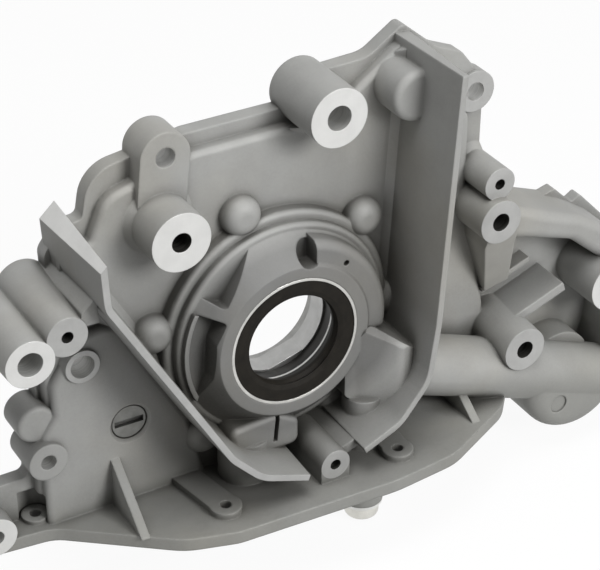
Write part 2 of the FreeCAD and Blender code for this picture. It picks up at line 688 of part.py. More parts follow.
def sump_flange():
    shelf = prism(sump_outline, sump_face_z, sump_top_z, plan_view)
    pad_root = sump_top_z - overlap
    pads = []
    for path in (left_pad_path, right_pad_path):
        top = sump_top_z + sump_pad_height
        pads.append(prism(ribbon(path, sump_pad_neck * sump_pad_radius), pad_root, top, plan_view))
        pads.append(upright(path[-1], sump_pad_radius, pad_root, top))
    pads.append(upright(corner_bolt_at, corner_pad_radius, pad_root, sump_top_z + corner_pad_height))
    gussets = [prism(left_gusset_outline, left_gusset_x, left_gusset_x + gusset_thickness, side_view),
               prism(right_gusset_outline, right_gusset_x, right_gusset_x + gusset_thickness, side_view)]
    return [shelf] + pads + gussets


def relief_barrel():
    return [upright(relief_at, relief_barrel_radius, relief_barrel_end_z, relief_barrel_top_z)]


def suction_tower():
    """Tower around the suction passage, with the two-eared flange of the strainer's pipe."""
    tower = upright(suction_at, suction_tower_radius, suction_flange_z, suction_tower_top_z)
    flange_top = sump_face_z + 2.0 * overlap
    half = suction_bolt_spacing / 2.0
    path = [(suction_at[0] - half, suction_at[1], 0.0), (suction_at[0] + half, suction_at[1], 0.0)]
    bar = prism(ribbon(path, 2.0 * suction_ear_radius), suction_flange_z, flange_top, plan_view)
    ends = [upright((suction_at[0] + side * half, suction_at[1]), suction_ear_radius,
                    suction_flange_z, flange_top)
            for side in (-1, 1)]
    return [tower, bar] + ends


# Parts of the casting that are cut away
def rear_pockets():
    """Cored space behind the plate, between the rim, the pump and the bolt bosses."""
    space = prism(pocket_outline, 0.0, plate_depth - casting_wall)
    space = space.fuse(prism(chamber_pocket_outline, 0.0, chamber_depth - casting_wall))
    keepers = [rod((0.0, 0.0), cover_radius + cover_land, -cut_margin, front_depth)]
    through_bosses = [case_hole_at, lobe_boss_at, arm_boss_at, bracket_boss_at, lug_at, pulley_boss_at,
                      small_boss_at, slotted_plug_at]
    for at in through_bosses:
        keepers.append(rod(at, boss_keeper_radius, -cut_margin, front_depth))
    for path in pocket_rib_paths:
        keepers.append(prism(ribbon(path, rib_thickness), -cut_margin, front_depth))
    return space.cut(keepers)


def arm_pocket():
    """Cored back of the arm's beam."""
    return prism(ribbon(arm_pocket_path, arm_pocket_width), 0.0, arm_depth - casting_wall)


def kidney(angles):
    """Curved port in the floor of the rotor chamber, between two angles."""
    low, high = angles
    middle = (low + high) / 2.0
    centre = outer_rotor_centre
    level = chamber_floor_depth - cut_margin
    outer = [polar(port_outer_radius, a, centre) for a in (low, middle, high)]
    inner = [polar(port_inner_radius, a, centre) for a in (high, middle, low)]
    outer_points = [front_view(x, z, level) for x, z in outer]
    inner_points = [front_view(x, z, level) for x, z in inner]
    wire = Part.Wire([Part.Arc(*outer_points).toShape(),
                      Part.LineSegment(outer_points[-1], inner_points[0]).toShape(),
                      Part.Arc(*inner_points).toShape(),
                      Part.LineSegment(inner_points[-1], outer_points[0]).toShape()])
    return Part.Face(wire).extrude(Vector(0, -(port_depth + cut_margin), 0))


def pump_cavities():
    cover_seat = rod((0.0, 0.0), cover_radius + cover_gap, -cut_margin, cover_front_depth)
    chamber = rod(outer_rotor_centre, rotor_chamber_radius, 0.0, chamber_floor_depth)
    crank_way = rod((0.0, 0.0), drive_hub_radius + crank_way_gap, 0.0, seal_back_depth + overlap)
    seal_seat = rod((0.0, 0.0), seal_radius, seal_back_depth, front_depth + cut_margin)
    ports = [kidney(suction_port_angles), kidney(pressure_port_angles)]
    return [cover_seat, chamber, crank_way, seal_seat] + ports


def oil_ways():
    start, end, direction = gallery_axis()
    gallery = Part.makeCylinder(gallery_radius, (end - start).Length + cut_margin, start, direction)
    plug_seat_start = end - direction * gallery_plug_length
    plug_seat_length = gallery_plug_length + gallery_tube_radius
    plug_seat = Part.makeCylinder(gallery_plug_radius, plug_seat_length, plug_seat_start, direction)
    outlet = rod(cup_at, outlet_radius, -cut_margin, gallery_depth)
    groove_outer_radius = o_ring_inner_radius + o_ring_wire + o_ring_groove_gap
    groove_outer = rod(cup_at, groove_outer_radius, -cut_margin, o_ring_groove_depth)
    groove = groove_outer.cut(rod(cup_at, o_ring_inner_radius - o_ring_groove_gap,
                                  -2.0 * cut_margin, o_ring_groove_depth + cut_margin))
    throat = upright(relief_at, relief_throat_radius, relief_seat_z - cut_margin,
                     gallery_start[1] - throat_drop)
    bore = upright(relief_at, relief_bore_radius, relief_plug_top_z - overlap, relief_seat_z)
    plug_bore = upright(relief_at, relief_plug_radius + thread_gap,
                        relief_barrel_end_z - cut_margin, relief_plug_top_z)
    spill_z = relief_seat_z - spill_drop
    spill = Part.makeCylinder(spill_radius, relief_barrel_radius + cut_margin,
                              Vector(relief_at[0], -relief_at[1], spill_z), Vector(0, 1, 0))
    suction = upright(suction_at, suction_radius, suction_flange_z, suction_top_z)
    socket = upright(suction_at, suction_socket_radius, suction_flange_z - cut_margin,
                     suction_flange_z + suction_socket_length)
    link = prism(suction_link_outline, chamber_floor_depth - cut_margin, suction_link_depth)
    return [gallery, plug_seat, outlet, groove, throat, bore, plug_bore, spill, suction, socket, link]


def bolt_holes():
    places = [(bracket_boss_at, case_bolt_radius, front_depth),
              (outer_boss_at, case_bolt_radius, front_depth),
              (case_hole_at, side_bolt_radius, front_depth),
              (left_boss_at, side_bolt_radius, left_boss_depth),
              (lug_at, upper_bolt_radius, lug_depth),
              (ear_at, upper_bolt_radius, ear_depth),
              (arm_boss_at, arm_hole_radius, front_depth),
              (block_boss_at, arm_hole_radius, block_boss_depth),
              (lobe_boss_at, lobe_hole_radius, lobe_boss_depth + lobe_boss_stand),
              (tab_boss_at, lobe_hole_radius, lobe_boss_depth)]
    return [rod(at, radius, -cut_margin, face + cut_margin) for at, radius, face in places]


def tapped_holes():
    places = [(pulley_boss_at, tapped_m10_radius, front_depth),
              (cover_stud_at, tapped_m6_radius, left_boss_depth),
              (small_boss_at, tapped_m6_radius, small_boss_depth),
              (gap_boss_at, tapped_m6_radius, gap_boss_depth)]
    holes = [rod(at, radius, face - tapped_hole_length, face + cut_margin) for at, radius, face in places]
    for angle in screw_angles:
        at = polar(screw_circle_radius, angle)
        holes.append(rod(at, screw_radius + thread_gap, 0.0, screw_hole_depth))
    plug_back = chamber_depth - slotted_plug_length - slotted_plug_recess
    holes.append(rod(slotted_plug_at, slotted_plug_radius, plug_back, chamber_depth + cut_margin))
    holes.append(cone(slotted_plug_at, slotted_plug_radius, slotted_plug_radius + plug_mouth_bevel,
                      chamber_depth - plug_mouth_bevel, chamber_depth))
    return holes


def sump_holes():
    holes = []
    for at in (left_pad_path[-1], right_pad_path[-1], corner_bolt_at, right_bolt_at):
        holes.append(upright(at, sump_bolt_radius, sump_face_z - cut_margin,
                             sump_top_z + sump_pad_height + cut_margin))
    spot = upright(corner_bolt_at, corner_spot_radius, sump_top_z, sump_top_z + corner_spot_height)
    pad = upright(corner_bolt_at, corner_pad_radius, sump_top_z - overlap, sump_top_z + corner_pad_height)
    holes.append(spot.cut(pad))
    half = suction_bolt_spacing / 2.0
    for side in (-1, 1):
        holes.append(upright((suction_at[0] + side * half, suction_at[1]), sump_bolt_radius,
                             suction_flange_z - cut_margin, sump_face_z - suction_thread_stop))
    holes.append(prism(sump_recess_outline, sump_face_z - cut_margin, sump_face_z + sump_recess_height,
                       plan_view))
    return holes


def pump_housing():
    added = flange_and_plate() + pump_body() + screw_bumps() + belt_walls() + tall_bosses() + lug()
    added += left_block() + low_bosses() + right_bosses() + arm() + sump_flange()
    casting = added[0].fuse(added[1:])
    casting = casting.cut([rear_pockets(), arm_pocket()] + sump_holes()[-1:])
    casting = casting.fuse(relief_barrel() + suction_tower())
    casting = casting.cut(pump_cavities() + oil_ways())
    casting = casting.cut(bolt_holes() + tapped_holes() + sump_holes()[:-1])
    return casting.removeSplitter()


# Rotors
def trochoid_point(turn, clearance):
    """Point on the inner rotor's profile, the envelope of the outer rotor's round lobes."""
    lobes = outer_lobes
    radius = lobe_arc_radius + clearance
    swing = math.atan2(math.sin((1 - lobes) * turn),
                       lobe_circle_radius / (rotor_eccentricity * lobes) - math.cos((1 - lobes) * turn))
    x = lobe_circle_radius * math.cos(turn) - radius * math.cos(turn + swing)
    x -= rotor_eccentricity * math.cos(lobes * turn)
    z = -lobe_circle_radius * math.sin(turn) + radius * math.sin(turn + swing)
    z += rotor_eccentricity * math.sin(lobes * turn)
    return x, z


def lobe_curve(lobe):
    """One lobe of the inner rotor's profile, from valley to valley, turned to mesh with the outer rotor."""
    lift = math.radians(90.0 + 180.0 / inner_lobes)
    pitch = 2.0 * math.pi / inner_lobes
    points = []
    for step in range(profile_points + 1):
        x, z = trochoid_point(pitch * (lobe + step / profile_points), rotor_tip_clearance)
        across = x * math.cos(lift) - z * math.sin(lift)
        up = x * math.sin(lift) + z * math.cos(lift)
        points.append(front_view(across, up, rotor_back_depth))
    first = lift - pitch * lobe
    last = first - pitch
    along_start = front_view(math.sin(first), -math.cos(first), 0.0)
    along_end = front_view(math.sin(last), -math.cos(last), 0.0)
    curve = Part.BSplineCurve()
    curve.interpolate(Points=points, InitialTangent=along_start, FinalTangent=along_end)
    return curve.toShape()


def trochoid_wire():
    return Part.Wire([lobe_curve(lobe) for lobe in range(inner_lobes)])


def inner_rotor():
    blank = Part.Face(trochoid_wire()).extrude(Vector(0, -rotor_width, 0))
    hole = rod((0.0, 0.0), drive_hub_radius, 0.0, front_depth)
    width = 2.0 * drive_hub_radius
    slab = Part.makeBox(2.0 * drive_flat_distance, front_depth, width,
                        Vector(-drive_flat_distance, -front_depth, -drive_hub_radius))
    slab.rotate(Vector(0, 0, 0), Vector(0, 1, 0), -drive_flat_angle)
    return blank.cut(hole.common(slab))


def outer_rotor():
    blank = rod(outer_rotor_centre, outer_rotor_radius, rotor_back_depth, rotor_front_depth)
    opening = rod(outer_rotor_centre, rotor_root_radius, 0.0, front_depth)
    lobes = []
    for lobe in range(outer_lobes):
        at = polar(lobe_circle_radius, 90.0 + 360.0 * lobe / outer_lobes, outer_rotor_centre)
        lobes.append(rod(at, lobe_arc_radius, -cut_margin, front_depth))
    return blank.cut(opening.cut(lobes))


# Rear cover and screws
def rotor_cover():
    plate = rod((0.0, 0.0), cover_radius, 0.0, cover_front_depth)
    head_height = screw_head_radius - screw_radius
    holes = [rod((0.0, 0.0), cover_crank_hole_radius, -cut_margin, front_depth)]
    for angle in screw_angles:
        at = polar(screw_circle_radius, angle)
        holes.append(rod(at, screw_radius + screw_hole_gap, -cut_margin, front_depth))
        holes.append(cone(at, screw_head_radius + screw_sink, screw_radius + screw_sink, 0.0, head_height))
    return plate.cut(holes)


def cover_screw(angle):
    """Countersunk screw with a six-sided socket, its head flush with the cover."""
    at = polar(screw_circle_radius, angle)
    head_end = screw_sink + screw_head_radius - screw_radius
    head = cone(at, screw_head_radius, screw_radius, screw_sink, head_end)
    shank = rod(at, screw_radius, screw_sink, screw_length)
    socket = prism(six_sided(at, screw_socket_radius), -cut_margin, screw_socket_depth)
    return head.fuse(shank).cut(socket).removeSplitter()


# Crankshaft seal
def revolve_profile(points):
    """Ring turned about the crankshaft's axis from (radius, depth) points."""
    corners = [Vector(radius, -depth, 0) for radius, depth in points]
    wire = Part.makePolygon(corners + corners[:1])
    return Part.Face(wire).revolve(Vector(0, 0, 0), Vector(0, 1, 0), 360)


def oil_seal_case():
    outside = seal_radius - fit_gap
    inside = seal_radius - case_sheet
    window = crank_radius + case_window
    back = seal_back_depth + case_back_gap
    flange_front = front_depth - case_sink
    flange_back = flange_front - case_sheet
    return revolve_profile([(outside, back), (outside, front_depth), (inside, front_depth),
                            (inside, flange_front), (window, flange_front), (window, flange_back),
                            (inside, flange_back), (inside, back)])


def oil_seal_lip():
    """Rubber body with a dust lip in front and the sprung main lip behind."""
    outside = seal_radius - case_sheet - fit_gap
    front = front_depth - case_sink + lip_front_stand
    dust_lip_root = front - 2.0 * lip_bevel
    land_front = garter_depth + lip_land / 2.0
    land_back = garter_depth - lip_land / 2.0
    back = land_back - lip_bevel
    step = land_front + lip_bevel / 2.0
    body = revolve_profile([(outside, front), (crank_radius + spring_ring_gap, front),
                            (crank_radius + dust_lip_gap, front - dust_lip_bevel),
                            (crank_radius + lip_bevel, dust_lip_root), (crank_radius, land_front),
                            (crank_radius, land_back), (crank_radius + lip_bevel, back),
                            (crank_radius + lip_body, back), (crank_radius + lip_body, step),
                            (outside, front - lip_body)])
    groove = Part.makeTorus(spring_ring_radius, spring_ring_wire + 2.0 * fit_gap,
                            Vector(0, -garter_depth, 0), Vector(0, 1, 0))
    return body.cut([oil_seal_case(), groove])


def garter_spring():
    return Part.makeTorus(spring_ring_radius, spring_ring_wire, Vector(0, -garter_depth, 0), Vector(0, 1, 0))


# Relief valve
def relief_plunger():
    radius = relief_bore_radius - running_clearance
    low = plunger_top_z - plunger_length
    body = upright(relief_at, radius, low, plunger_top_z)
    top_rim = [edge for edge in body.Edges if edge.BoundBox.ZMin > plunger_top_z - match_tolerance]
    body = body.makeChamfer(plunger_chamfer, top_rim)
    cup = upright(relief_at, plunger_cup_radius, low - cut_margin, plunger_top_z - plunger_crown)
    return body.cut(cup)


def relief_spring():
    low = relief_plug_top_z
    high = plunger_top_z - plunger_crown
    length = high - low - 2.0 * spring_wire_radius
    helix = Part.makeHelix(length / spring_turns, length, spring_mean_radius)
    section = Part.makeCircle(spring_wire_radius, Vector(spring_mean_radius, 0, 0), Vector(0, 1, 0))
    coil = Part.Wire(helix.Edges).makePipeShell([Part.Wire(section)], True, True)
    coil.translate(Vector(relief_at[0], -relief_at[1], low + spring_wire_radius))
    return coil


def relief_plug():
    """Screw plug with a round-ended head below the barrel."""
    head_top = relief_barrel_end_z - relief_washer_thickness
    thread = upright(relief_at, relief_plug_radius, head_top, relief_plug_top_z)
    head_low = head_top - relief_plug_head_height
    head = upright(relief_at, relief_plug_head_radius, head_low, head_top)
    low_rim = [edge for edge in head.Edges if edge.BoundBox.ZMax < head_low + match_tolerance]
    head = head.makeFillet(relief_plug_head_round, low_rim)
    socket = prism(six_sided(relief_at, relief_plug_socket_radius), head_low - cut_margin,
                   head_top - relief_plug_socket_floor, plan_view)
    return thread.fuse(head).cut(socket).removeSplitter()


def relief_plug_washer():
    top = relief_barrel_end_z
    outside = upright(relief_at, relief_washer_radius, top - relief_washer_thickness, top)
    hole = upright(relief_at, relief_plug_radius + washer_gap,
                   top - relief_washer_thickness - cut_margin, top + cut_margin)
    return outside.cut(hole)


# Plugs and the outlet's seal
def slotted_plug():
    face = chamber_depth - slotted_plug_recess
    plug = rod(slotted_plug_at, slotted_plug_radius - fit_gap, face - slotted_plug_length, face)
    rim = [edge for edge in plug.Edges if abs(edge.BoundBox.YMax + face) < match_tolerance]
    plug = plug.makeChamfer(slotted_plug_chamfer, rim)
    reach = slotted_plug_radius * slot_reach
    tilt = math.radians(slot_angle)
    path = [(slotted_plug_at[0] - reach * math.cos(tilt), slotted_plug_at[1] - reach * math.sin(tilt), 0.0),
            (slotted_plug_at[0] + reach * math.cos(tilt), slotted_plug_at[1] + reach * math.sin(tilt), 0.0)]
    return plug.cut(prism(ribbon(path, slot_width), face - slot_depth, face + cut_margin))


def gallery_end_plug():
    """Cup plug pressed into the drilled end of the gallery."""
    start, end, direction = gallery_axis()
    seat = end - direction * gallery_plug_length
    plug = Part.makeCylinder(gallery_plug_radius - fit_gap, gallery_plug_length, seat, direction)
    inner_radius = gallery_plug_radius - gallery_plug_wall
    floor = seat + direction * gallery_plug_floor
    hollow = Part.makeCylinder(inner_radius, gallery_plug_length, floor, direction)
    return plug.cut(hollow)


def outlet_o_ring():
    radius = o_ring_inner_radius + o_ring_wire / 2.0
    centre = Vector(cup_at[0], -(o_ring_groove_depth - o_ring_wire / 2.0), cup_at[1])
    ring = Part.makeTorus(radius, o_ring_wire / 2.0, centre, Vector(0, 1, 0))
    block_side = rod(cup_at, cup_radius, -2.0 * o_ring_wire, 0.0)
    return ring.cut(block_side)


def write(name, shape):
    shape.exportStep(os.path.join("parts", name + ".step"))


def main():
    os.makedirs("parts", exist_ok=True)
    write("pump_housing", pump_housing())
    write("oil_seal_case", oil_seal_case())
    write("oil_seal_lip", oil_seal_lip())
    write("garter_spring", garter_spring())
    write("inner_rotor", inner_rotor())
    write("outer_rotor", outer_rotor())
    write("rotor_cover", rotor_cover())
    for number, angle in enumerate(screw_angles, start=1):
        write("cover_screw_%d" % number, cover_screw(angle))
    write("relief_plunger", relief_plunger())
    write("relief_spring", relief_spring())
    write("relief_plug", relief_plug())
    write("relief_plug_washer", relief_plug_washer())
    write("slotted_plug", slotted_plug())
    write("gallery_end_plug", gallery_end_plug())
    write("outlet_o_ring", outlet_o_ring())


main()
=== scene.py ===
import bpy
import math
from mathutils import Matrix, Vector


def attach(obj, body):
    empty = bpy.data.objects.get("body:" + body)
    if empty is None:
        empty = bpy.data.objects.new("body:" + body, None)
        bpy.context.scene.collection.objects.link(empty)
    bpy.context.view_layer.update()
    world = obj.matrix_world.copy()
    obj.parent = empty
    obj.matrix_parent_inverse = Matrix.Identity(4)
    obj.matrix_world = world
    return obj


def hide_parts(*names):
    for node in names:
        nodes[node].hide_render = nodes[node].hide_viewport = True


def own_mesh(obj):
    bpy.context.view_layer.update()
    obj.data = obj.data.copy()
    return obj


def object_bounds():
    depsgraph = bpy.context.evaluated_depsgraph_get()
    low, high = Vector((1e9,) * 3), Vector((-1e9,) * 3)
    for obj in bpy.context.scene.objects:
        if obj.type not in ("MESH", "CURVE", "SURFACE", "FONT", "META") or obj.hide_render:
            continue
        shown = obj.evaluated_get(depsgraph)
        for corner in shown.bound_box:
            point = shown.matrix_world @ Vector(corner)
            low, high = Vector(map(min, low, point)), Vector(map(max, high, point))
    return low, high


# Looks of the engine oil pump, in metres. X points right seen from the front, Y points back to the
# engine and Z points up. A depth is a distance in front of the face that meets the engine block.
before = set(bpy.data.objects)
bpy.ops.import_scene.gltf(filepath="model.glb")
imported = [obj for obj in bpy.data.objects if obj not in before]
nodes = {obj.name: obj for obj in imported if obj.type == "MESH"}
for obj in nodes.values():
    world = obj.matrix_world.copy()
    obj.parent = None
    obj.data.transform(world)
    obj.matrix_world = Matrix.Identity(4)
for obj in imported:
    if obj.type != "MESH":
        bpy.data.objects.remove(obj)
cad_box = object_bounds()

# Camera
camera_place = Vector((-0.3498, -0.6458, 0.4743))
camera_right = Vector((0.8668, -0.4987, 0.0))
camera_up = Vector((0.2667, 0.4637, 0.8449))
camera_lens = 122.1
camera_sensor_width = 36.0

# Light and floor
white = (1.0, 1.0, 1.0, 1.0)
world_strength = 0.12
key_place = (0.46, -1.3, 0.66)
key_size = 0.55
key_power = 16.0
top_place = (-0.15, -0.25, 1.35)
top_size = 0.8
top_power = 12.0
floor_drop = 0.002
floor_size = 6.0
floor_color = (0.5, 0.5, 0.5, 1.0)
floor_roughness = 0.9
floor_glow = 1.08
floor_glow_share = 0.86

# Machined faces of the casting's bosses: (x, z, depth, radius) in millimetres. The bright faces are
# painted as lit and the dull faces as shaded copies of one milled face.
bright_faces = [
    (-51.0, 63.6, 34.0, 13.0), (20.3, 99.6, 34.0, 13.0), (169.0, -25.5, 34.0, 13.0),
    (-121.5, 36.0, 44.0, 10.3), (-132.7, -62.4, 18.0, 9.2)]
dull_faces = [
    (-105.6, 43.2, 44.0, 8.6), (103.4, 44.2, 30.0, 7.6), (102.3, 27.7, 34.0, 10.3),
    (116.9, -41.2, 38.0, 10.6), (10.6, -57.6, 50.0, 7.0), (-89.6, 8.8, 18.5, 7.6),
    (103.0, 79.5, 9.0, 9.5)]

# Holes of the casting: (x, z, radius) in millimetres
drilled_holes = [
    (20.3, 99.6, 5.5), (169.0, -25.5, 5.5), (-121.5, 36.0, 5.25), (-89.6, 8.8, 5.25),
    (-48.0, 92.0, 4.25), (103.0, 79.5, 4.25), (-108.0, -31.3, 3.4), (-132.7, -62.4, 3.4)]
# Holes whose walls are painted near-black as shade
shaded_holes = [
    (-51.0, 63.6, 4.3), (-105.6, 43.2, 2.5), (103.4, 44.2, 2.5), (10.6, -57.6, 2.5),
    (102.3, 27.7, 4.25), (116.9, -41.2, 4.25)]
crank_way = [(0.0, 0.0, 25.0)]

# Other machined places of the casting, in millimetres
wall_tip_depth = 54.0
wall_head_left = -97.0
wall_head_right = -84.0
wall_head_low = 66.0
wall_head_back_depth = 10.0
sump_face_height = -72.0

# How near a polygon lies to its face or hole, in millimetres
face_reach = 0.15
plane_reach = 0.1
hole_reach = 0.1
millimetres_per_metre = 1000.0

# Limits for the share of a polygon's normal that runs along one axis
square_share = 0.95
slope_share = 0.6
hole_wall_share = 0.3
level_share = 0.05

# Where the casting grows darker low down and round the hub, where the painted shade round the hub fades
# out, and where the painted highlight in the crankshaft's way lies
low_darkening_heights = (-0.068, -0.045)
hub_darkening_radii = (0.042, 0.05)
hub_ring_shade_radii = (0.055, 0.1)
crank_glint_y = -0.0212
crank_glint_half_width = 0.0005

# Colours of the casting
skin_dark = (0.32, 0.32, 0.308)
skin_pale = (0.385, 0.385, 0.372)
skin_streak = (0.29, 0.292, 0.285)
skin_speckle = (0.46, 0.46, 0.45)
# Edge colour: wear and a painted highlight
skin_worn_lit_edge = (0.52, 0.52, 0.505)
# Colours of painted shade: round the hub, and in the corners
hub_ring_shade_color = (0.1, 0.098, 0.09)
corner_shade_color = (0.09, 0.088, 0.08)
# Darker towards the bottom and on the hub
low_darkening_color = (0.82, 0.82, 0.8)
hub_darkening_color = (0.58, 0.58, 0.585)
warm_stain_color = (0.975, 0.955, 0.915)
cutter_mark_color = (0.95, 0.95, 0.94)
# Painted shade and painted highlight in the crankshaft's way
crank_shade_black = (0.012, 0.0115, 0.01)
crank_shade_grey = (0.03, 0.029, 0.026)
painted_glint_color = (0.8, 0.8, 0.78)

# Colours of the other pieces, and how far wear and grain change a metal's tone and roughness
rubber_dark = (0.009, 0.0078, 0.006)
rubber_dusty = (0.018, 0.0158, 0.0125)
metal_corner_shade_color = (0.03, 0.028, 0.024)
worn_edge_gain = 1.25
grain_gloss_below = 0.07
grain_gloss_above = 0.09

# Directions of the grain, as a scale along each axis
mould_flow = (60.0, 60.0, 14.0)
cutter_marks = (2600.0, 200.0, 120.0)
turned_grain = (900.0, 900.0, 900.0)
ground_grain = (300.0, 2500.0, 300.0)
faced_grain = (2500.0, 300.0, 90.0)
ring_cross_scale = 60.0

# Slots of the housing's materials; the bright and dull slots hold painted light and painted shade on the
# milled faces, and the dark and crank slots hold painted shade in holes
casting_slot, bright_slot, dull_slot, drilled_slot, shaded_slot, crank_slot = range(6)

# Shader settings that several materials share
soft_edge_samples = 6
crevice_samples = 6
noise_roughness = 0.55
# Where the painted shade in corners is at its darkest
full_shade_below = 0.3


# Node helpers
def add(tree, kind, values=None, **settings):
    """New shader node with its input values and its own settings."""
    node = tree.nodes.new(kind)
    for name, value in settings.items():
        setattr(node, name, value)
    for name, value in (values or {}).items():
        node.inputs[name].default_value = value
    return node


def join(tree, start, end):
    tree.links.new(start, end)


def math_node(tree, operation, first, second):
    """Result of an operation on two values, each given as a socket or as a number."""
    node = add(tree, "ShaderNodeMath", operation=operation)
    for value, socket in ((first, node.inputs[0]), (second, node.inputs[1])):
        if isinstance(value, float):
            socket.default_value = value
        else:
            join(tree, value, socket)
    return node.outputs[0]


def frame_coordinates(tree):
    return add(tree, "ShaderNodeTexCoord").outputs["Object"]


def stretched(tree, coordinates, scale):
    """Coordinates scaled by a different factor along each axis."""
    node = add(tree, "ShaderNodeMapping", {"Scale": scale})
    join(tree, coordinates, node.inputs["Vector"])
    return node.outputs["Vector"]


def one_axis(tree, coordinates, axis):
    parts = add(tree, "ShaderNodeSeparateXYZ")
    join(tree, coordinates, parts.inputs[0])
    return parts.outputs[axis]


def noise(tree, coordinates, scale=1.0, detail=3.0):
    node = add(tree, "ShaderNodeTexNoise",
               {"Scale": scale, "Detail": detail, "Roughness": noise_roughness})
    join(tree, coordinates, node.inputs["Vector"])
    return node.outputs["Fac"]


def spread(tree, value, low=0.0, high=1.0, from_low=0.3, from_high=0.7):
    """Value carried from one range to another and kept within it."""
    node = add(tree, "ShaderNodeMapRange",
               {"From Min": from_low, "From Max": from_high, "To Min": low, "To Max": high})
    join(tree, value, node.inputs["Value"])
    return node.outputs["Result"]


def faded(tree, share, most):
    """Share that reaches only the given height."""
    return spread(tree, share, high=most, from_low=0.0, from_high=1.0)


def low_share(tree, coordinates, heights):
    """One below the first height, zero above the second."""
    low, high = heights
    return spread(tree, one_axis(tree, coordinates, "Z"), 1.0, 0.0, low, high)


def axis_share(tree, coordinates, radii):
    """One within the first distance of the crankshaft's axis, zero beyond the second."""
    inner, outer = radii
    beside_axis = stretched(tree, coordinates, (1.0, 0.0, 1.0))
    length = add(tree, "ShaderNodeVectorMath", operation="LENGTH")
    join(tree, beside_axis, length.inputs[0])
    return spread(tree, length.outputs["Value"], 1.0, 0.0, inner, outer)


def depth_band(tree, coordinates, middle, half_width):
    """One in a band across the crankshaft's axis, zero outside it."""
    node = add(tree, "ShaderNodeMath", operation="COMPARE")
    join(tree, one_axis(tree, coordinates, "Y"), node.inputs[0])
    node.inputs[1].default_value = middle
    node.inputs[2].default_value = half_width
    return node.outputs[0]


def mix_colors(tree, share, first, second, blend="MIX"):
    """Mix of two colours, each given as a socket or as an RGB triple."""
    node = add(tree, "ShaderNodeMix", data_type="RGBA", blend_type=blend)
    join(tree, share, node.inputs[0])
    for color, socket in ((first, node.inputs[6]), (second, node.inputs[7])):
        if isinstance(color, tuple):
            socket.default_value = color + (1.0,)
        else:
            join(tree, color, socket)
    return node.outputs[2]


def darkened(tree, share, color, filter_color):
    """Colour seen through a film where the share is one."""
    return mix_colors(tree, share, color, filter_color, "MULTIPLY")


def round_edges(tree, radius):
    node = add(tree, "ShaderNodeBevel", {"Radius": radius}, samples=soft_edge_samples)
    return node.outputs["Normal"]


def edge_share(tree, soft_normal, reach):
    """One along convex and concave edges, zero on flat ground."""
    geometry = add(tree, "ShaderNodeNewGeometry")
    dot = add(tree, "ShaderNodeVectorMath", operation="DOT_PRODUCT")
    join(tree, soft_normal, dot.inputs[0])
    join(tree, geometry.outputs["True Normal"], dot.inputs[1])
    return spread(tree, dot.outputs["Value"], 0.0, 1.0, 1.0, reach)


def crevice_shade_share(tree, distance, most, clean_from):
    """Painted shade: darker where walls nearer than the distance shut out the light."""
    node = add(tree, "ShaderNodeAmbientOcclusion", {"Distance": distance}, samples=crevice_samples)
    return spread(tree, node.outputs["AO"], most, 0.0, full_shade_below, clean_from)


def bump(tree, height, strength, distance, base_normal=None):
    node = add(tree, "ShaderNodeBump", {"Strength": strength, "Distance": distance})
    join(tree, height, node.inputs["Height"])
    if base_normal is not None:
        join(tree, base_normal, node.inputs["Normal"])
    return node.outputs["Normal"]


def start_material(name, metallic, roughness, specular=0.5):
    material = bpy.data.materials.new(name)
    material.use_nodes = True
    shader = material.node_tree.nodes["Principled BSDF"]
    shader.inputs["Metallic"].default_value = metallic
    shader.inputs["Roughness"].default_value = roughness
    shader.inputs["Specular IOR Level"].default_value = specular
    return material, material.node_tree, shader


# Materials of the casting
def skin_tone(tree, place, speckle, soft_normal):
    """Cloudy grey with streaks from the mould, pale speckles, and edges lighter from wear and a painted
    highlight.
    """
    cloud = noise(tree, place, scale=38.0, detail=5.0)
    flow = noise(tree, stretched(tree, place, mould_flow), detail=4.0)
    color = mix_colors(tree, spread(tree, cloud), skin_dark, skin_pale)
    color = mix_colors(tree, spread(tree, flow, high=0.35), color, skin_streak)
    color = mix_colors(tree, spread(tree, speckle, high=0.2), color, skin_speckle)
    # Edges lighter: partly wear, partly a painted highlight
    worn_lit_edge = faded(tree, edge_share(tree, soft_normal, reach=0.75), most=0.45)
    return mix_colors(tree, worn_lit_edge, color, skin_worn_lit_edge)


def skin_shade_and_stains(tree, place, color):
    """Painted shade round the hub and in the corners, darker low down and on the hub, and warm stains.
    """
    # Painted shade in a ring round the hub, where walls within the wide distance shut out the light
    wide_shade = crevice_shade_share(tree, distance=0.045, most=0.95, clean_from=0.85)
    near_hub_ring = axis_share(tree, place, hub_ring_shade_radii)
    hub_ring_shade = math_node(tree, "MULTIPLY", wide_shade, near_hub_ring)
    color = mix_colors(tree, hub_ring_shade, color, hub_ring_shade_color)
    # Painted shade in the casting's corners
    corner_shade = crevice_shade_share(tree, distance=0.01, most=0.9, clean_from=0.8)
    color = mix_colors(tree, corner_shade, color, corner_shade_color)
    # Darker towards the bottom and round the crankshaft's axis
    color = darkened(tree, low_share(tree, place, low_darkening_heights), color, low_darkening_color)
    color = darkened(tree, axis_share(tree, place, hub_darkening_radii), color, hub_darkening_color)
    stain = spread(tree, noise(tree, place, scale=14.0), from_low=0.45, from_high=0.65)
    return darkened(tree, stain, color, warm_stain_color)


